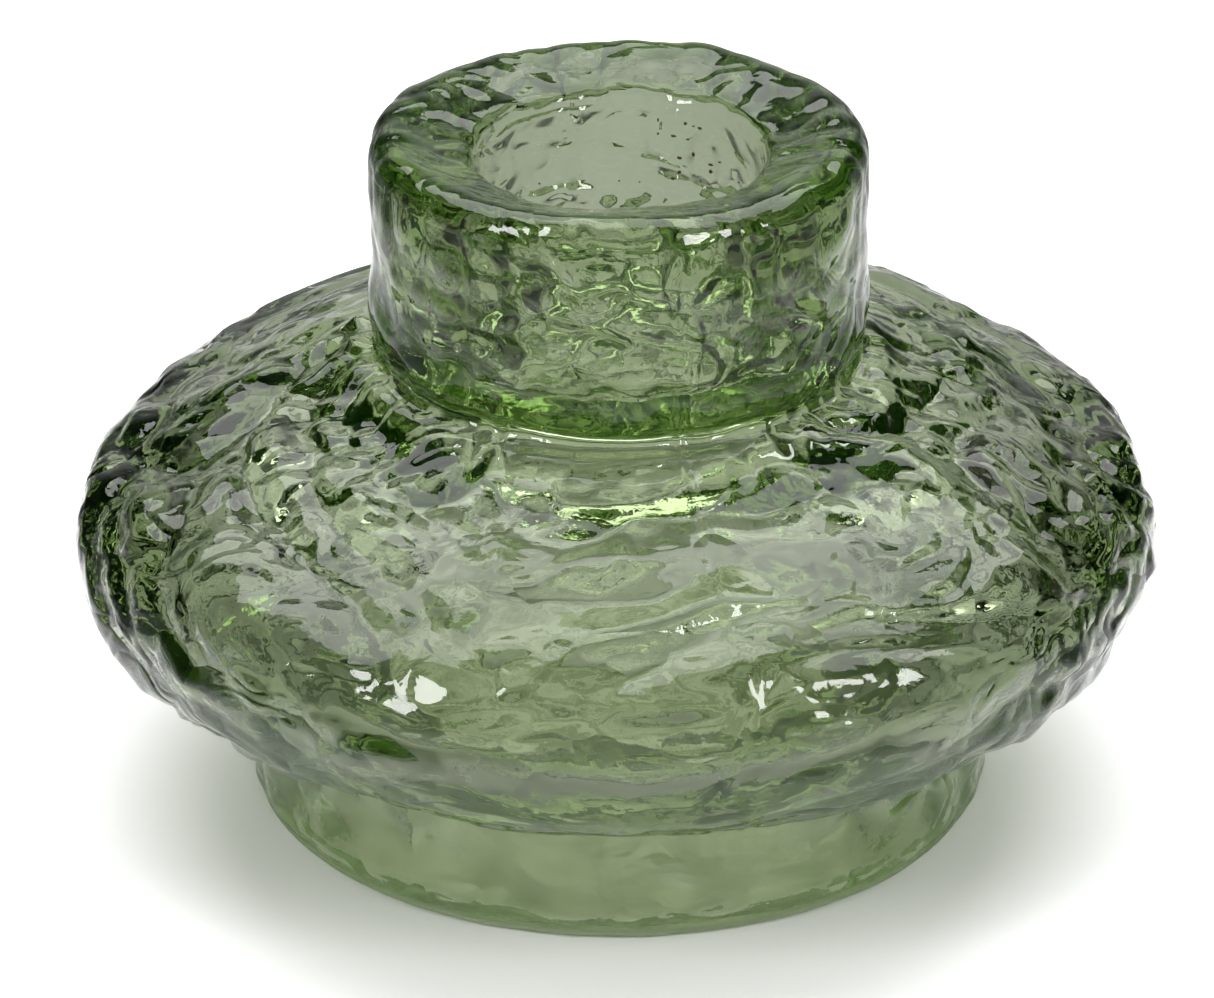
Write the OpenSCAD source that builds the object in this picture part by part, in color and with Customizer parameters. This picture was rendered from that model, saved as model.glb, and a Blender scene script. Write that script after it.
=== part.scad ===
// Squat, hollow glass candlestick for one 22 mm taper candle.
// It is one blown lump of clear green glass in three zones that meet at two sharp creases:
// a thick-walled neck with the candle socket, a wide flattened body and a plain round foot.
// The cavity inside the body is closed under the socket and open at the bottom, through the foot.
// Each zone is one solid of revolution, and neighbours share one flat face.
// Millimetres, +Z up, origin at the centre of the foot's underside.

/* [Foot] */
// Outer radius of the foot
foot_r = 29.3; // [28.5:0.1:31]
// Radius of the hole through the foot
foot_hole_r = 23.5; // [22:0.1:25]

/* [Body] */
// Largest radius of the body
belly_r = 42; // [41:0.5:46]
// Height of the largest radius above the table
belly_z = 22; // [21:0.5:24]
// Radius of the arc from the underside up to the largest radius
belly_low_arc = 9.9; // [8:0.1:10.5]
// Radius of the arc from the largest radius up to the shoulder
belly_high_arc = 7.3; // [6.8:0.1:8]
// Slope of the underside, in degrees
under_slope = 15; // [10:1:18]
// Slope of the shoulder, in degrees
shoulder_slope = 24; // [22:0.5:25]

/* [Neck] */
// Outer radius of the neck
neck_r = 19.2; // [18.5:0.1:20.5]
// Height of the rim's crest, which is the overall height
rim_z = 55; // [54:0.5:60]
// Radius of the rim's rounded outer edge
rim_round = 2.2; // [1:0.1:3]
// Slope of the rim's top, down towards the socket, in degrees
rim_slope = 18; // [0:1:20]

/* [Candle socket] */
// Radius of the straight wall, 0.25 mm over a 22 mm candle's
socket_r = 11.25; // [11:0.05:12]
// Glass over the body's upper crease, up to the socket's floor
socket_floor_t = 1.3; // [0.8:0.1:3]
// Radius of the socket's mouth edge
mouth_round = 1.4; // [0.8:0.1:2]
// Radius of the corner between wall and floor
floor_round = 0.8; // [0.5:0.1:2]

/* [Cavity] */
// Thickness of the belly's wall at the largest radius
belly_wall = 5.4; // [4.5:0.1:6]
// Thickness of the shoulder
shoulder_wall = 4.5; // [3.5:0.1:4.8]
// Radius of the roof's flat top
roof_r = 12; // [10.5:0.1:13]
// Depth of the roof's flat top below the upper crease
roof_t = 1.9; // [1.2:0.1:3]

/* [Hidden] */
$fn = 128;
ARC_STEP = 7.5;        // degrees between neighbouring points of an arc
foot_outer_round = 1;  // rounded edges of the ring that stands on the table
foot_inner_round = 0.8;
hole_round = 3;        // inner edge where the hole opens into the cavity
low_round = 4.5;       // cavity's rounded corners behind the belly
high_round = 4.5;
shoulder_round = 10;   // gentle bends of the cavity's roof
roof_foot_round = 3;
roof_round = 4.5;
green = [0.55, 0.68, 0.45, 0.6];

// The belly is two arcs, each up to the point where it has turned into a straight slope.
low_centre = [belly_r - belly_low_arc, belly_z];
high_centre = [belly_r - belly_high_arc, belly_z];
low_end = low_centre + belly_low_arc * [sin(under_slope), -cos(under_slope)];
high_end = high_centre + belly_high_arc * [sin(shoulder_slope), cos(shoulder_slope)];
// The creases lie where those slopes run into the foot's wall and the neck's wall.
foot_crease_z = low_end[1] - (low_end[0] - foot_r) * tan(under_slope);
neck_crease_z = high_end[1] + (high_end[0] - neck_r) * tan(shoulder_slope);

// The rim's top is a straight slope that touches its outer edge and the mouth's edge.
socket_floor_z = neck_crease_z + socket_floor_t;
rim_centre = [neck_r - rim_round, rim_z - rim_round];
rim_end = rim_centre + rim_round * [-sin(rim_slope), cos(rim_slope)];
mouth_r = socket_r + mouth_round;
mouth_start_r = mouth_r - mouth_round * sin(rim_slope);
mouth_start_z = rim_end[1] - (rim_end[0] - mouth_start_r) * tan(rim_slope);
mouth_z = mouth_start_z - mouth_round * cos(rim_slope);

// The cavity's roof runs parallel to the shoulder and then rises under the socket.
cavity_r = belly_r - belly_wall;
cavity_low_z = belly_z - 4.4;
throat_z = foot_crease_z + 2.4;
roof_z = neck_crease_z - roof_t;
roof_foot = [roof_r + 3.5, roof_z - 4.8];
bend_r = roof_r + 13;
function roof_height(r) = neck_crease_z - (r - neck_r) * tan(shoulder_slope)
    - shoulder_wall / cos(shoulder_slope);

function unit(v) = v / norm(v);

// Points [radius, height] along an arc from angle a to angle b, where 0 points outwards and 90 up
function arc(centre, radius, a, b) =
    let (steps = max(2, ceil(abs(b - a) / ARC_STEP)))
    [for (i = [0:steps]) let (t = a + (b - a) * i / steps) centre + radius * [cos(t), sin(t)]];

// The arc that rounds the corner at point p between its neighbours before and after
function rounded(before, p, after, radius) =
    let (
        u = unit(before - p),
        v = unit(after - p),
        half = acos(u * v) / 2,
        centre = p + radius / sin(half) * unit(u + v),
        from = p + radius / tan(half) * u - centre,
        to = p + radius / tan(half) * v - centre,
        a = atan2(from[1], from[0]),
        turn = (atan2(to[1], to[0]) - a + 540) % 360 - 180
    )
    arc(centre, radius, a, a + turn);

// Turns an outline of [radius, height] points round the axis
module turned(outline) {
    color(green) rotate_extrude() polygon(outline);
}

// Plain round foot, a ring that stands on the table
module foot() {
    turned(concat(
        [[foot_hole_r, foot_crease_z]],
        arc([foot_hole_r + foot_inner_round, foot_inner_round], foot_inner_round, 180, 270),
        arc([foot_r - foot_outer_round, foot_outer_round], foot_outer_round, -90, 0),
        [[foot_r, foot_crease_z]]
    ));
}

// Wide flattened shell, open towards the foot and roofed under the neck
module body() {
    top = [0, roof_z];
    roof = [roof_r, roof_z];
    bend = [bend_r, roof_height(bend_r)];
    high = [cavity_r, roof_height(cavity_r)];
    low = [cavity_r, cavity_low_z];
    throat = [foot_hole_r, throat_z];
    hole = [foot_hole_r, foot_crease_z];
    turned(concat(
        [[0, neck_crease_z], top],
        rounded(top, roof, roof_foot, roof_round),
        rounded(roof, roof_foot, bend, roof_foot_round),
        rounded(roof_foot, bend, high, shoulder_round),
        rounded(bend, high, low, high_round),
        rounded(high, low, throat, low_round),
        rounded(low, throat, hole, hole_round),
        [[foot_r, foot_crease_z]],
        arc(low_centre, belly_low_arc, under_slope - 90, 0),
        arc(high_centre, belly_high_arc, 0, 90 - shoulder_slope),
        [[neck_r, neck_crease_z]]
    ));
}

// Thick-walled neck, with a rounded rim that slopes in to a straight candle socket
module neck() {
    turned(concat(
        [[0, neck_crease_z], [neck_r, neck_crease_z]],
        arc(rim_centre, rim_round, 0, 90 + rim_slope),
        arc([mouth_r, mouth_z], mouth_round, 90 + rim_slope, 180),
        arc([socket_r - floor_round, socket_floor_z + floor_round], floor_round, 0, -90),
        [[0, socket_floor_z]]
    ));
}

foot();
body();
neck();
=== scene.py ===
import math

import bpy
import numpy as np
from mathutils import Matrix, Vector


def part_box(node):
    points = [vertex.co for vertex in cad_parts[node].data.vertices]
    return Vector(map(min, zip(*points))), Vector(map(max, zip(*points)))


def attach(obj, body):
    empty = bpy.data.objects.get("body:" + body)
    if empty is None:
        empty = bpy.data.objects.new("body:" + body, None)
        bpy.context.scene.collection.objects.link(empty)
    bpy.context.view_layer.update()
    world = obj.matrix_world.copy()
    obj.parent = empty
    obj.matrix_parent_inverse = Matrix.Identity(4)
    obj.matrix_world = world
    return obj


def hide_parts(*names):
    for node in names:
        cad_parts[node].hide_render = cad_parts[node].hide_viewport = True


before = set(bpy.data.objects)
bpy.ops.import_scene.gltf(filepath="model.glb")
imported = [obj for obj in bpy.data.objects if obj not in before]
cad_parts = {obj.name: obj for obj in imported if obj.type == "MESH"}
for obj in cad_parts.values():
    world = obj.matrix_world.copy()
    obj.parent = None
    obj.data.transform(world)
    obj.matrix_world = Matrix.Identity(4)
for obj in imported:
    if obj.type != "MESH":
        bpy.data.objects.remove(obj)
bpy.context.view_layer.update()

MM = 0.001

# ---------------------------------------------------------------- sizes, in mm
# The nodes' boxes give the outer sizes; the rest repeats the CAD design.
foot_box, body_box, neck_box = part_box("foot"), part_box("body"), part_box("neck")
FOOT_R = foot_box[1].x / MM
FOOT_CREASE_Z = foot_box[1].z / MM
BELLY_R = body_box[1].x / MM
NECK_CREASE_Z = body_box[1].z / MM
NECK_R = neck_box[1].x / MM
RIM_Z = neck_box[1].z / MM

BELLY_Z = 22.0
BELLY_LOW_ARC, BELLY_HIGH_ARC = 9.9, 7.3
UNDER_SLOPE, SHOULDER_SLOPE = 15.0, 24.0
FOOT_HOLE_R = 23.5
FOOT_OUTER_ROUND, FOOT_INNER_ROUND, HOLE_ROUND = 1.0, 0.8, 3.0
RIM_ROUND, RIM_SLOPE = 2.2, 18.0
SOCKET_R, MOUTH_ROUND, FLOOR_ROUND = 11.25, 1.4, 0.8
# The socket's wall bulges in by less than this, just under its 0.25 mm clearance to a 22 mm candle.
CANDLE_GAP = 0.22
SOCKET_FLOOR_Z = NECK_CREASE_Z + 1.3
BELLY_WALL, SHOULDER_WALL = 5.4, 4.5
CAVITY_R = BELLY_R - BELLY_WALL
CAVITY_LOW_Z = BELLY_Z - 4.4
THROAT_Z = FOOT_CREASE_Z + 2.4
ROOF_R, ROOF_Z = 12.0, NECK_CREASE_Z - 1.9
ROOF_FOOT_R, ROOF_FOOT_Z, BEND_R = ROOF_R + 3.5, ROOF_Z - 4.8, ROOF_R + 13
CORNER_ROUND, BEND_ROUND, ROOF_ROUND, ROOF_FOOT_ROUND = 4.5, 10.0, 4.5, 3.0

COLUMNS = 436          # points round the glass
GROUND_ROUGHNESS = 0.35  # of the ring that stands on the table
# How strongly the material's fine grooves show in each zone
RELIEF = {
    "cavity": 0.0, "ring": 0.0, "foot": 0.8, "body": 1.0, "neck": 0.2, "rim": 0.6, "bore": 2.0, "floor": 0.8,
}
FRONT = -90.0          # azimuth that faces the viewer, in degrees
SEAM = FRONT + 14.0    # azimuth of the mould's seam; the other half's is opposite


# ---------------------------------------------------------------- outline
def arc(centre, radius, a, b, step=6.0):
    """Points [r, z] along an arc from angle a to b, where 0 points outwards and 90 up."""
    n = max(2, math.ceil(abs(b - a) / step))
    t = np.radians(np.linspace(a, b, n + 1))
    return [(centre[0] + radius * math.cos(x), centre[1] + radius * math.sin(x)) for x in t]


def rounded(before, p, after, radius):
    """The arc that rounds the corner at p."""
    before, p, after = (np.array(q, float) for q in (before, p, after))
    u = (before - p) / np.linalg.norm(before - p)
    v = (after - p) / np.linalg.norm(after - p)
    half = math.acos(float(u @ v)) / 2
    centre = p + radius / math.sin(half) * (u + v) / np.linalg.norm(u + v)
    start = p + radius / math.tan(half) * u - centre
    end = p + radius / math.tan(half) * v - centre
    a = math.degrees(math.atan2(start[1], start[0]))
    turn = (math.degrees(math.atan2(end[1], end[0])) - a + 540) % 360 - 180
    return arc(centre, radius, a, a + turn)


def roof_height(r):
    """Height of the cavity's sloping roof, which runs parallel to the shoulder."""
    slope = math.radians(SHOULDER_SLOPE)
    return NECK_CREASE_Z - (r - NECK_R) * math.tan(slope) - SHOULDER_WALL / math.cos(slope)


def resampled(points, spacing):
    """The polyline through points again, with evenly spaced points about spacing mm apart."""
    p = np.array(points, float)
    d = np.concatenate([[0], np.cumsum(np.hypot(*np.diff(p, axis=0).T))])
    n = max(1, round(d[-1] / spacing))
    t = np.linspace(0, d[-1], n + 1)
    return np.stack([np.interp(t, d, p[:, 0]), np.interp(t, d, p[:, 1])], 1)


def glass_outline():
    """Points [r, z] from the cavity's roof down and round to the socket's floor, and each point's zone."""
    low_c = (BELLY_R - BELLY_LOW_ARC, BELLY_Z)
    high_c = (BELLY_R - BELLY_HIGH_ARC, BELLY_Z)
    top, roof, roof_foot = (0, ROOF_Z), (ROOF_R, ROOF_Z), (ROOF_FOOT_R, ROOF_FOOT_Z)
    bend, high = (BEND_R, roof_height(BEND_R)), (CAVITY_R, roof_height(CAVITY_R))
    low, throat, hole = (CAVITY_R, CAVITY_LOW_Z), (FOOT_HOLE_R, THROAT_Z), (FOOT_HOLE_R, FOOT_CREASE_Z)
    rim_c = (NECK_R - RIM_ROUND, RIM_Z - RIM_ROUND)
    rim_turn = math.radians(RIM_SLOPE)
    rim_end = (rim_c[0] - RIM_ROUND * math.sin(rim_turn), rim_c[1] + RIM_ROUND * math.cos(rim_turn))
    mouth_r = SOCKET_R + MOUTH_ROUND
    start_r = mouth_r - MOUTH_ROUND * math.sin(rim_turn)
    start_z = rim_end[1] - (rim_end[0] - start_r) * math.tan(rim_turn)
    mouth_z = start_z - MOUTH_ROUND * math.cos(rim_turn)
    cavity = [top] + rounded(top, roof, roof_foot, ROOF_ROUND)
    cavity += rounded(roof, roof_foot, bend, ROOF_FOOT_ROUND)
    cavity += rounded(roof_foot, bend, high, BEND_ROUND)
    cavity += rounded(bend, high, low, CORNER_ROUND) + rounded(high, low, throat, CORNER_ROUND)
    cavity += rounded(low, throat, hole, HOLE_ROUND)
    hole_c = (FOOT_HOLE_R + FOOT_INNER_ROUND, FOOT_INNER_ROUND)
    ring = [cavity[-1]] + arc(hole_c, FOOT_INNER_ROUND, 180, 270, 18)
    ring += arc((FOOT_R - FOOT_OUTER_ROUND, FOOT_OUTER_ROUND), FOOT_OUTER_ROUND, -90, 0, 15)
    foot = [(FOOT_R, FOOT_OUTER_ROUND), (FOOT_R, FOOT_CREASE_Z)]
    body = [foot[-1]] + arc(low_c, BELLY_LOW_ARC, UNDER_SLOPE - 90, 0)
    body += arc(high_c, BELLY_HIGH_ARC, 0, 90 - SHOULDER_SLOPE) + [(NECK_R, NECK_CREASE_Z)]
    neck = [body[-1], (NECK_R, RIM_Z - RIM_ROUND)]
    rim = arc(rim_c, RIM_ROUND, 0, 90 + RIM_SLOPE)
    rim += arc((mouth_r, mouth_z), MOUTH_ROUND, 90 + RIM_SLOPE, 180)
    bore = [rim[-1], (SOCKET_R, SOCKET_FLOOR_Z + FLOOR_ROUND)]
    floor_c = (SOCKET_R - FLOOR_ROUND, SOCKET_FLOOR_Z + FLOOR_ROUND)
    floor = arc(floor_c, FLOOR_ROUND, 0, -90, 20) + [(0, SOCKET_FLOOR_Z)]
    points, zones = [], []
    for zone, line, spacing in (
        ("cavity", cavity, 2.0), ("ring", ring, 0.9), ("foot", foot, 1.0), ("body", body, 0.52),
        ("neck", neck, 0.6), ("rim", rim, 0.55), ("bore", bore, 0.6), ("floor", floor, 1.1),
    ):
        part = resampled(line, spacing)
        if points:
            part = part[1:]
        points.extend(part)
        zones.extend([zone] * len(part))
    return np.array(points), np.array(zones)


# ---------------------------------------------------------------- noise
def wave_noise(u, v, cells, seed):
    """Smooth gradient noise, about -1 to 1, that repeats over u = 0 to cells."""
    rng = np.random.default_rng(seed)
    angle = rng.uniform(0, 2 * math.pi, (cells, 512))
    iu, iv = np.floor(u).astype(int), np.floor(v).astype(int)
    fu, fv = u - iu, v - iv

    def corner(du, dv):
        a = angle[(iu + du) % cells, (iv + dv) % 512]
        return np.cos(a) * (fu - du) + np.sin(a) * (fv - dv)

    su = fu * fu * fu * (fu * (fu * 6 - 15) + 10)
    sv = fv * fv * fv * (fv * (fv * 6 - 15) + 10)
    low = corner(0, 0) * (1 - su) + corner(1, 0) * su
    high = corner(0, 1) * (1 - su) + corner(1, 1) * su
    return (low * (1 - sv) + high * sv) * 1.5


def smooth(x, a, b):
    """0 below a, 1 above b and a soft step between."""
    t = np.clip((x - a) / (b - a), 0, 1)
    return t * t * (3 - 2 * t)


def near(azimuth, centre, width):
    """1 at the azimuth centre, fading to 0 at width degrees from it."""
    d = np.abs((azimuth - centre + 180) % 360 - 180)
    return 1 - smooth(d, 0, width)


def billow(n, edge):
    """Turns noise into rounded bumps that meet in narrow grooves; edge rounds the grooves' bottoms."""
    return np.sqrt(n * n + edge * edge)


def bark(turn, v, azimuth):
    """Height of the body's bark in mm. turn is 0 to 1 round the body, and v is the length up the outline."""
    warp_u = wave_noise(turn * 9, v / 13, 9, 11)
    warp_v = wave_noise(turn * 8, v / 12 + 40, 8, 12)

    def field(cells, size, skew, seed, bend=0.5):
        u = turn * cells + skew * v / size + bend * warp_u
        return wave_noise(u, v / size + 30 + bend * warp_v, cells, seed)

    left, right, sides = side_weights(azimuth)
    across = 1 - sides
    swell = left * field(11, 13, 0, 21) + right * field(9, 9, 0, 22) + across * field(9, 11, 0, 23)
    cell = (left * field(19, 10, 1, 31, 0.6) + right * field(17, 7, 0, 32, 0.6)
            + across * field(9, 6.5, 0, 33, 0.9))
    ripple = (left * field(36, 5.5, 0, 41, 0.6) + right * field(34, 4.2, 0, 42, 0.6)
              + across * field(16, 4.5, 0, 43, 1.0))
    small = (left * field(70, 3.0, 0, 44, 0.6) + right * field(66, 2.4, 0, 45, 0.6)
             + across * field(40, 3.5, 0, 46, 1.0))
    # The front of the belly is calmer.
    calm = 1 - 0.4 * near(azimuth, FRONT, 50) * (1 - smooth(v, 20, 32)) * smooth(v, 3, 8)
    height = (0.7 + 0.3 * sides) * swell + (1.05 + 0.45 * sides) * (billow(cell, 0.03) - 0.3)
    height += (0.40 + 0.40 * sides) * (billow(ripple, 0.03) - 0.25)
    height += (0.07 + 0.21 * sides) * (billow(small, 0.03) - 0.25)
    height += (0.20 + 0.08 * sides) * smooth(field(34, 5, 0, 47, 0.6), 0.34, 0.48)
    # Fine level lines run round the underside, just above the foot.
    lines = wave_noise(turn * 30 + 0.6 * warp_u, v / 1.2, 30, 61)
    height = calm * height + 0.45 * lines * smooth(v, 1, 3) * (1 - smooth(v, 5, 9))
    # The few highest bumps and deepest grooves level off at about 1.1 mm.
    excess = np.maximum(np.abs(height) - 0.8, 0)
    return np.sign(height) * (np.minimum(np.abs(height), 0.8) + 0.3 * np.tanh(excess / 0.3))


def side_weights(azimuth):
    """How much each azimuth belongs to the left side, to the right side, and to either of them."""
    left, right = near(azimuth, FRONT - 72, 92), near(azimuth, FRONT + 74, 92)
    return left, right, np.clip(left + right, 0, 1)


def seam(azimuth, width):
    """1 on the mould's two seams, fading out over width degrees."""
    d = np.abs((azimuth - SEAM + 90) % 180 - 90)
    return np.exp(-(d / width) ** 2)


def glass_heights(points, zones, turn, azimuth):
    """How far each grid point moves out along the outline's normal, in mm."""
    d = np.concatenate([[0], np.cumsum(np.hypot(*np.diff(points, axis=0).T))])
    height = np.zeros((len(points), len(turn)))
    for zone in ("cavity", "ring", "foot", "body", "neck", "rim", "bore", "floor"):
        rows = np.nonzero(zones == zone)[0]
        v = (d[rows] - d[rows[0]])[:, None]
        span = float(v[-1, 0])
        t, az = turn[None, :], azimuth[None, :]
        ends = smooth(v, 0, 1.5) * (1 - smooth(v, span - 1.5, span))
        if zone == "body":
            h = bark(t, v, az) * (0.35 + 0.65 * ends) + 0.15 * seam(az, 0.6)
        elif zone == "neck":
            sway = wave_noise(t * 8, v / 9, 8, 70)
            h = 0.30 * wave_noise(t * 12, v / 9, 12, 71) + 0.18 * wave_noise(t * 24 + sway, v / 4.5, 24, 72)
            h += 0.32 * (billow(wave_noise(t * 14 + 0.6 * sway, v / 5, 14, 73), 0.05) - 0.25)
            h += 0.08 * wave_noise(t * 50, v / 2.2, 50, 75)
            h += 0.20 * wave_noise(t * 60, v / 8, 60, 74) * smooth(v, 8, 15)
            h += 0.14 * seam(az, 1.0)
        elif zone == "rim":
            h = 0.25 * wave_noise(t * 9, v / 9, 9, 81) + 0.10 * wave_noise(t * 34, v / 4, 34, 82)
            marks = billow(wave_noise(t * 26, v / 3.4, 26, 83), 0.05) - 0.25
            h += 0.32 * marks * (1 - 0.85 * near(az, FRONT, 110))
        elif zone == "bore":
            h = -0.55 * (billow(wave_noise(t * 26, v / 3.2, 26, 91), 0.05) - 0.25)
            h += 0.15 * wave_noise(t * 12, v / 7, 12, 92) + 0.25 * wave_noise(t * 36, v / 8, 36, 94)
            # The wall bulges inwards by less than the candle's clearance.
            h = np.where(h > 0, CANDLE_GAP * np.tanh(h / CANDLE_GAP), h)
        elif zone == "floor":
            h = 0.12 * wave_noise(t * 12, v / 3, 12, 93) * smooth(points[rows, 0][:, None], 1, 6)
        elif zone == "foot":
            h = 0.50 * wave_noise(t * 14 + 0.1 * v, v / 7, 14, 101)
            h += 0.24 * wave_noise(t * 36, v / 3, 36, 102)
            h += 0.45 * (billow(wave_noise(t * 24, v / 6, 24, 103), 0.06) - 0.25)
            h = (1 + 0.8 * side_weights(az)[2]) * h + 0.12 * seam(az, 0.7)
        elif zone == "ring":
            h = 0.0
        else:
            r = points[rows, 0][:, None]
            h = 0.60 * wave_noise(t * 9, v / 14, 9, 111) + 0.25 * wave_noise(t * 20, v / 8, 20, 112)
            h += 0.20 * wave_noise(t * 7, v / 4, 7, 113) * (1 - smooth(r, 14, 18))
            h *= smooth(r, 1, 6)
            # The wall is thicker at the left and right, and the roof under the socket is thinner.
            h += 0.8 * side_weights(az)[2] * smooth(r, 28, 35)
            h -= 0.9 * (1 - smooth(r, 10, 14))
        height[rows] = h
    height = soft_joins(height, zones)
    # The upper crease is a narrow groove with a low ridge beneath it.
    s = (d - d[np.nonzero(zones == "neck")[0][0]])[:, None]
    return height - 0.45 * np.exp(-(s / 0.6) ** 2) + 0.35 * np.exp(-((s + 2.0) / 0.8) ** 2)


def soft_joins(height, zones):
    """Blends the rows on both sides of each zone's edge, so the surface has no step there."""
    edges = [i for i in range(1, len(zones)) if zones[i] != zones[i - 1]]
    out = height.copy()
    for e in edges:
        for k in range(-3, 4):
            i = e + k
            if 1 <= i < len(zones) - 1:
                w = 1 - abs(k) / 4
                ends = (height[max(e - 4, 0)] + height[min(e + 4, len(zones) - 1)]) / 2
                out[i] = (1 - w) * height[i] + w * ends
    return out


# ---------------------------------------------------------------- meshes
def add_object(name, verts, faces, material):
    mesh = bpy.data.meshes.new(name)
    mesh.from_pydata(verts, [], faces)
    mesh.update()
    for p in mesh.polygons:
        p.use_smooth = True
    mesh.materials.append(material)
    obj = bpy.data.objects.new(name, mesh)
    bpy.context.collection.objects.link(obj)
    return obj


def glass_grid():
    """The displaced outline turned round the axis, in mm, with each row's zone and each point's relief."""
    points, zones = glass_outline()
    turn = np.arange(COLUMNS) / COLUMNS
    azimuth = turn * 360 - 180
    height = glass_heights(points, zones, turn, azimuth)
    along = np.gradient(points, axis=0)
    along /= np.maximum(np.hypot(along[:, 0], along[:, 1]), 1e-9)[:, None]
    normal = np.stack([along[:, 1], -along[:, 0]], 1)
    r = points[:, 0:1] + height * normal[:, 0:1]
    z = points[:, 1:2] + height * normal[:, 1:2]
    a = np.radians(azimuth)[None, :]
    on_table = np.isin(zones, ("ring", "foot")) & (points[:, 1] < 0.4)
    z = np.where(on_table[:, None], points[:, 1:2], z)
    relief = np.array([RELIEF[zone] for zone in zones])[:, None] * np.ones((1, COLUMNS))
    relief[zones == "body"] *= 0.3 + 0.7 * side_weights(azimuth)[2]
    return np.stack([r * np.cos(a), r * np.sin(a), z], 2), zones, relief


def make_glass(material):
    grid, zones, relief = glass_grid()
    rows = len(grid)
    verts = [tuple(grid[0].mean(0) * MM)]
    verts += [tuple(p) for p in (grid[1:-1] * MM).reshape(-1, 3)]
    verts.append(tuple(grid[-1].mean(0) * MM))
    last = len(verts) - 1
    ground = np.repeat(zones == "ring", COLUMNS).reshape(relief.shape)

    def index(row, col):
        return 1 + (row - 1) * COLUMNS + col % COLUMNS

    faces = []
    for c in range(COLUMNS):
        faces.append((0, index(1, c + 1), index(1, c)))
        for k in range(1, rows - 2):
            faces.append((index(k, c), index(k, c + 1), index(k + 1, c + 1), index(k + 1, c)))
        faces.append((index(rows - 2, c), index(rows - 2, c + 1), last))
    obj = add_object("glass", verts, faces, material)
    for name, table in (("relief", relief), ("ground", ground.astype(float))):
        values = np.concatenate([table[0, :1], table[1:-1].ravel(), table[-1, :1]])
        obj.data.attributes.new(name, "FLOAT", "POINT").data.foreach_set("value", values)
    return obj, grid, zones


def blob(centre, axes, seed, rough=0.15, inwards=False):
    """A small lumpy ball: its vertices and faces. axes are three half-axis vectors in mm."""
    rng = np.random.default_rng(seed)
    rows, cols = 7, 12
    verts = [np.array([0, 0, -1.0])]
    for i in range(1, rows):
        el = -math.pi / 2 + math.pi * i / rows
        for j in range(cols):
            az = 2 * math.pi * j / cols
            p = np.array([math.cos(el) * math.cos(az), math.cos(el) * math.sin(az), math.sin(el)])
            verts.append(p * (1 + rough * rng.uniform(-1, 1)))
    verts.append(np.array([0, 0, 1.0]))
    axes = np.array(axes, float)
    verts = [np.array(centre, float) + v @ axes for v in verts]
    faces, last = [], len(verts) - 1

    def index(i, j):
        return 1 + (i - 1) * cols + j % cols

    for j in range(cols):
        faces.append((0, index(1, j + 1), index(1, j)))
        for i in range(1, rows - 1):
            faces.append((index(i, j), index(i, j + 1), index(i + 1, j + 1), index(i + 1, j)))
        faces.append((index(rows - 1, j), index(rows - 1, j + 1), last))
    if inwards:
        faces = [tuple(reversed(f)) for f in faces]
    return verts, faces


def join_blobs(name, blobs, material):
    verts, faces = [], []
    for v, f in blobs:
        faces += [tuple(i + len(verts) for i in q) for q in f]
        verts += [tuple(p * MM) for p in v]
    return add_object(name, verts, faces, material)


# ---------------------------------------------------------------- materials
def new_material(name):
    mat = bpy.data.materials.new(name)
    mat.use_nodes = True
    tree = mat.node_tree
    return mat, tree, tree.nodes["Principled BSDF"]


def add_noise(tree, scale, detail=2.0, distortion=0.0, stretch=(1, 1, 1)):
    """A Noise Texture in the object's own space; scale is in waves per metre."""
    coords = tree.nodes.new("ShaderNodeTexCoord")
    mapping = tree.nodes.new("ShaderNodeMapping")
    mapping.inputs["Scale"].default_value = stretch
    noise = tree.nodes.new("ShaderNodeTexNoise")
    noise.inputs["Scale"].default_value = scale
    noise.inputs["Detail"].default_value = detail
    noise.inputs["Distortion"].default_value = distortion
    tree.links.new(coords.outputs["Object"], mapping.inputs["Vector"])
    tree.links.new(mapping.outputs["Vector"], noise.inputs["Vector"])
    return noise.outputs["Fac"]


def feed(tree, value, socket):
    """Links a socket to another node's output, or sets it to a number or a colour."""
    if isinstance(value, bpy.types.NodeSocket):
        tree.links.new(value, socket)
    else:
        socket.default_value = value


def add_math(tree, operation, *values, clamp=False):
    node = tree.nodes.new("ShaderNodeMath")
    node.operation = operation
    node.use_clamp = clamp
    for socket, value in zip(node.inputs, values):
        feed(tree, value, socket)
    return node.outputs["Value"]


def add_range(tree, value, start, end, first, last, soft=True):
    """Goes from first to last as the value goes from start to end, and stays level outside."""
    node = tree.nodes.new("ShaderNodeMapRange")
    node.interpolation_type = "SMOOTHSTEP" if soft else "LINEAR"
    for name, number in (("From Min", start), ("From Max", end), ("To Min", first), ("To Max", last)):
        node.inputs[name].default_value = number
    tree.links.new(value, node.inputs["Value"])
    return node.outputs["Result"]


def add_ramp(tree, value, low, high):
    """The colour for a value. low and high are each a position and its colour."""
    node = tree.nodes.new("ShaderNodeValToRGB")
    for element, (position, colour) in zip(node.color_ramp.elements, (low, high)):
        element.position, element.color = position, colour
    tree.links.new(value, node.inputs["Fac"])
    return node.outputs["Color"]


def add_mix(tree, share, first, second):
    """The first colour where the share is 0, and the second where it is 1."""
    node = tree.nodes.new("ShaderNodeMix")
    node.data_type = "RGBA"
    for socket, value in ((0, share), (6, first), (7, second)):
        feed(tree, value, node.inputs[socket])
    return node.outputs[2]


def add_attribute(tree, name):
    node = tree.nodes.new("ShaderNodeAttribute")
    node.attribute_name = name
    return node.outputs["Fac"]


def add_bump(tree, height, strength, distance):
    bump = tree.nodes.new("ShaderNodeBump")
    bump.inputs["Strength"].default_value = strength
    bump.inputs["Distance"].default_value = distance
    tree.links.new(height, bump.inputs["Height"])
    return bump


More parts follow.
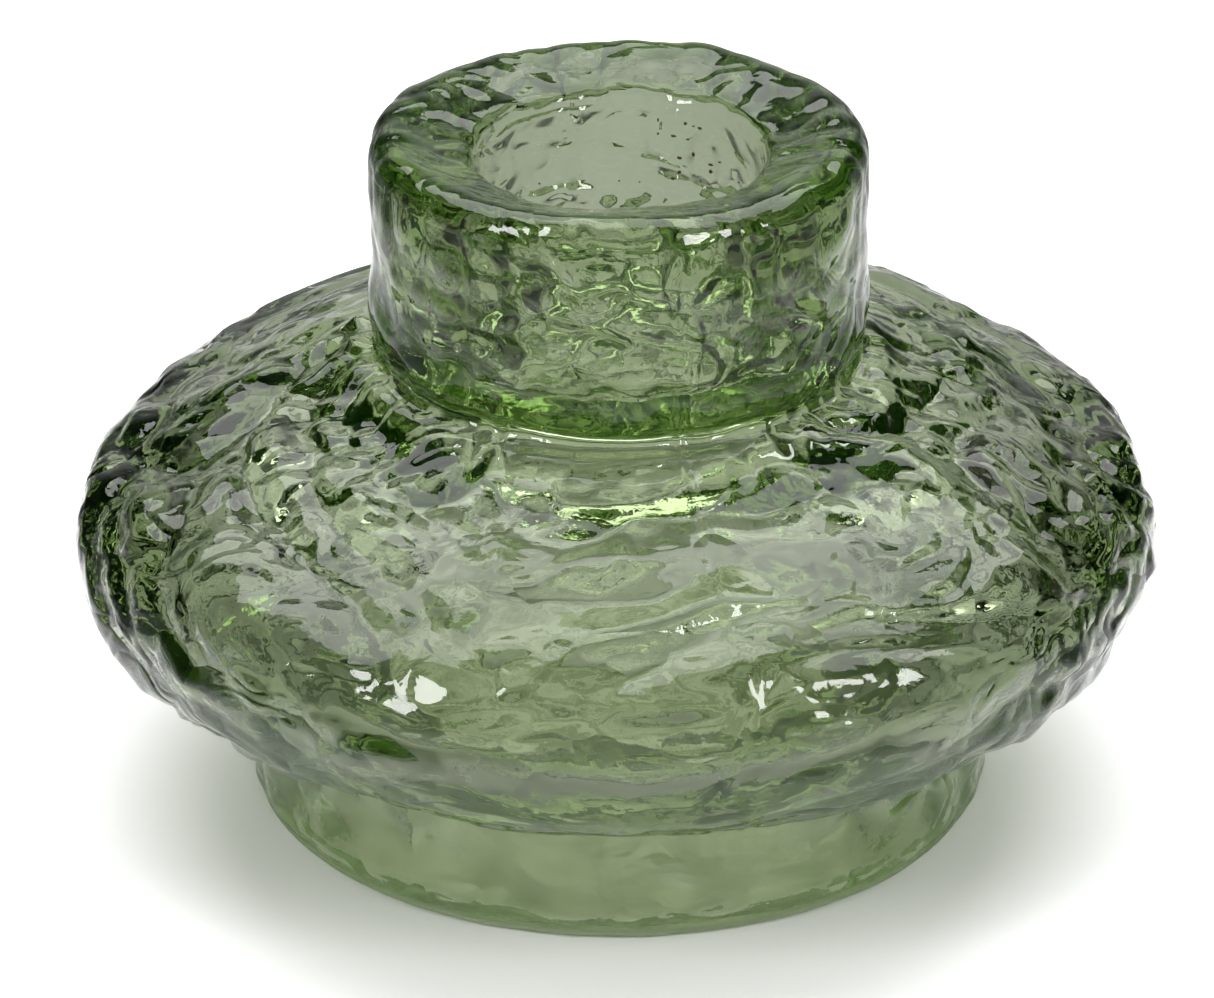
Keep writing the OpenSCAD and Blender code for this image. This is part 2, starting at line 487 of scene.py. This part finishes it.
def clear_material(name):
    """A material of clear glass, with no colour yet."""
    mat, tree, shader = new_material(name)
    shader.inputs["Base Color"].default_value = (1, 1, 1, 1)
    shader.inputs["Transmission Weight"].default_value = 1.0
    shader.inputs["IOR"].default_value = 1.5
    return mat, tree, shader


def glass_material():
    mat, tree, shader = clear_material("green_glass")
    # The glass is polished, apart from the ground ring that it stands on.
    polish = add_range(tree, add_noise(tree, 160), 0.0, 1.0, 0.0, 0.012, soft=False)
    rough = add_math(tree, "MULTIPLY_ADD", add_attribute(tree, "ground"), GROUND_ROUGHNESS, polish)
    tree.links.new(rough, shader.inputs["Roughness"])
    # Narrow grooves a few millimetres apart, as strong as the mesh's relief attribute says
    level = add_math(tree, "SUBTRACT", add_noise(tree, 150, 1.5, 0.6, (1, 1, 1.6)), 0.5)
    groove = add_math(tree, "ABSOLUTE", level)
    masked = add_math(tree, "MULTIPLY", groove, add_attribute(tree, "relief"))
    grooves = add_bump(tree, masked, 1.0, 0.0012)
    bump = add_bump(tree, add_noise(tree, 700, 3.0, 0.4), 0.15, 0.0002)
    tree.links.new(grooves.outputs["Normal"], bump.inputs["Normal"])
    tree.links.new(bump.outputs["Normal"], shader.inputs["Normal"])
    volume = tree.nodes.new("ShaderNodeVolumeAbsorption")
    volume.inputs["Color"].default_value = (0.44, 0.66, 0.07, 1)
    volume.inputs["Density"].default_value = 66.0
    tree.links.new(volume.outputs["Volume"], tree.nodes["Material Output"].inputs["Volume"])
    return mat


def bubble_material():
    mat, tree, shader = clear_material("air_bubble")
    shader.inputs["Roughness"].default_value = 0.0
    bump = add_bump(tree, add_noise(tree, 1500), 0.05, 0.0001)
    tree.links.new(bump.outputs["Normal"], shader.inputs["Normal"])
    return mat


def wax_material():
    mat, tree, shader = new_material("old_wax")
    dark, light = (0.0, (0.018, 0.008, 0.004, 1)), (1.0, (0.09, 0.035, 0.014, 1))
    tree.links.new(add_ramp(tree, add_noise(tree, 1200, 4.0), dark, light), shader.inputs["Base Color"])
    shader.inputs["Roughness"].default_value = 0.55
    return mat


def by_ray(tree, seen, others, mirrored=0.0):
    """The colour seen for the camera, others for every other ray, and a share of the first in reflections."""
    path = tree.nodes.new("ShaderNodeLightPath")
    # A ray that has gone through glass counts as glossy too.
    glossy, passed = path.outputs["Is Glossy Ray"], path.outputs["Is Transmission Ray"]
    reflected = add_math(tree, "SUBTRACT", glossy, passed, clamp=True)
    share = add_math(tree, "MULTIPLY_ADD", reflected, mirrored, path.outputs["Is Camera Ray"])
    return add_mix(tree, share, others, seen)


# ---------------------------------------------------------------- the glass and what is on it
glass, grid, zones = make_glass(glass_material())
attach(glass, "root")
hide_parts("foot", "body", "neck")


def surface_point(zone, azimuth, z):
    """The nearest grid point of a zone, and the unit vector out from the axis there."""
    rows = np.nonzero(zones == zone)[0]
    col = round((azimuth + 180) / 360 * COLUMNS) % COLUMNS
    row = rows[np.argmin(np.abs(grid[rows, col, 2] - z))]
    p = grid[row, col]
    out = np.array([p[0], p[1], 0]) / math.hypot(p[0], p[1])
    return p, out


def fleck(azimuth, z, wide, tall, seed, zone="bore"):
    p, out = surface_point(zone, azimuth, z)
    across = np.array([-out[1], out[0], 0])
    return blob(p, [across * wide, out * 0.12, np.array([0, 0, tall])], seed, 0.35)


rng = np.random.default_rng(19)
# One patch of flecks on the socket's wall at the back right, and a few more scattered round the back
flecks = [fleck(62 + rng.normal(0, 9), 49.0 + rng.normal(0, 1.8), rng.uniform(0.04, 0.24),
                rng.uniform(0.04, 0.16), 200 + i) for i in range(13)]
flecks += [fleck(rng.uniform(20, 160), rng.uniform(40, 51), rng.uniform(0.05, 0.10),
                 rng.uniform(0.05, 0.10), 300 + i) for i in range(9)]
wax = join_blobs("wax_flecks", flecks, wax_material())
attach(wax, "root")


def bubble(azimuth, r, z, wide, tall, seed):
    a = math.radians(azimuth)
    out, across = np.array([math.cos(a), math.sin(a), 0]), np.array([-math.sin(a), math.cos(a), 0])
    axes = [across * wide, out * tall, np.array([0, 0, tall])]
    return blob(out * r + np.array([0, 0, z]), axes, seed, 0.02, inwards=True)


# Two larger bubbles side by side at the neck's front left, and small ones anywhere in its wall
spots = [bubble(FRONT - 43, 16.6, 42.6, 0.55, 0.36, 1), bubble(FRONT - 37, 16.4, 42.8, 0.50, 0.34, 2)]
for i in range(22):
    azimuth, r, z = rng.uniform(-180, 180), rng.uniform(13.5, 17), rng.uniform(40, 51)
    size = rng.uniform(0.08, 0.2)
    spots.append(bubble(azimuth, r, z, size, size, 10 + i))
bubbles = join_blobs("air_bubbles", spots, bubble_material())
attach(bubbles, "root")


# ---------------------------------------------------------------- studio
FLOOR_HALF = 3.0       # half the floor's side, in metres
FLOOR_Z = -0.0001      # just below the foot, in metres


def make_floor():
    mat, tree, shader = new_material("floor")
    shader.inputs["Roughness"].default_value = 0.85
    coords = tree.nodes.new("ShaderNodeTexCoord")
    split = tree.nodes.new("ShaderNodeSeparateXYZ")
    distance = tree.nodes.new("ShaderNodeVectorMath")
    distance.operation = "LENGTH"
    tree.links.new(coords.outputs["Object"], split.inputs["Vector"])
    tree.links.new(coords.outputs["Object"], distance.inputs[0])
    away = distance.outputs["Value"]
    # Painted shade: every ray but the camera's sees the floor grey near by and darker towards its left and
    # right ends.
    painted_floor_shade = add_range(tree, add_math(tree, "ABSOLUTE", split.outputs["X"]), 0.02, 0.14, 0.225, 0.04)
    # Painted light: right under the glass the floor's colour has green patches, painted in to stand for the
    # light that has come through the glass.
    dark, light = (0.38, (0.54, 0.60, 0.43, 1)), (0.62, (1.00, 1.00, 0.90, 1))
    painted_caustic_patches = add_ramp(tree, add_noise(tree, 210, 2.0, 0.8), dark, light)
    painted_light_and_shade = add_mix(tree, add_range(tree, away, 0.022, 0.030, 1.0, 0.0), painted_floor_shade, painted_caustic_patches)
    # Painted reflection: close by, reflections in the glass see the floor as pale as the camera sees it;
    # further off they see little of that pale floor.
    painted_reflection_share = add_range(tree, away, 0.06, 0.13, 1.0, 0.1, soft=False)
    pale = (0.95, 0.95, 0.95, 1)
    tree.links.new(by_ray(tree, pale, painted_light_and_shade, painted_reflection_share), shader.inputs["Base Color"])
    h = FLOOR_HALF
    corners = [(-h, -h, FLOOR_Z), (h, -h, FLOOR_Z), (h, h, FLOOR_Z), (-h, h, FLOOR_Z)]
    floor = add_object("floor", corners, [(0, 1, 2, 3)], mat)


def make_world():
    world = bpy.data.worlds.new("studio")
    bpy.context.scene.world = world
    world.use_nodes = True
    tree = world.node_tree
    coords = tree.nodes.new("ShaderNodeTexCoord")
    split = tree.nodes.new("ShaderNodeSeparateXYZ")
    tree.links.new(coords.outputs["Generated"], split.inputs["Vector"])
    low, high = (0.42, (0.52, 0.52, 0.52, 1)), (0.62, (0.10, 0.10, 0.10, 1))
    backdrop = add_ramp(tree, split.outputs["Z"], low, high)
    # The backdrop's ends, left and right, are darker.
    fade = add_range(tree, add_math(tree, "ABSOLUTE", split.outputs["X"]), 0.2, 0.55, 1.0, 0.06)
    dimmed = tree.nodes.new("ShaderNodeVectorMath")
    dimmed.operation = "SCALE"
    tree.links.new(backdrop, dimmed.inputs[0])
    tree.links.new(fade, dimmed.inputs["Scale"])
    colour = by_ray(tree, (1, 1, 1, 1), dimmed.outputs["Vector"])
    tree.links.new(colour, tree.nodes["Background"].inputs["Color"])


def add_softbox(name, place, size, power, seen_through=False, reflected=True):
    light = bpy.data.lights.new(name, "AREA")
    light.shape = "RECTANGLE"
    light.size, light.size_y = size
    light.energy = power
    obj = bpy.data.objects.new(name, light)
    bpy.context.collection.objects.link(obj)
    obj.location = place
    obj.visible_transmission = seen_through
    obj.visible_glossy = reflected
    obj.rotation_euler = (Vector((0, 0, 0.03)) - Vector(place)).to_track_quat("-Z", "Y").to_euler()


make_floor()
make_world()
add_softbox("left", (-0.70, -0.60, 0.70), (0.18, 0.60), 5)
add_softbox("right", (0.70, -0.60, 0.70), (0.18, 0.60), 5)
add_softbox("top", (0.0, 0.45, 1.0), (1.40, 0.90), 13)
add_softbox("fill", (0.0, -0.3, 1.2), (1.2, 1.2), 8, reflected=False)
add_softbox("glow", (0.0, 0.45, 1.05), (1.40, 0.90), 7, seen_through=True, reflected=False)

camera = bpy.data.cameras.new("camera")
camera.sensor_width = 36
camera.lens = 192
camera.shift_x = -0.01
camera.clip_start = 0.01
view = bpy.data.objects.new("camera", camera)
bpy.context.collection.objects.link(view)
view.location = (0, -0.457, 0.252)
view.rotation_euler = (math.radians(63.4), 0, 0)
bpy.context.scene.camera = view

cycles = bpy.context.scene.cycles
cycles.max_bounces = 24
cycles.glossy_bounces = 12
cycles.transmission_bounces = 24
cycles.sample_clamp_indirect = 6.0
bpy.context.scene.view_settings.view_transform = "Standard"
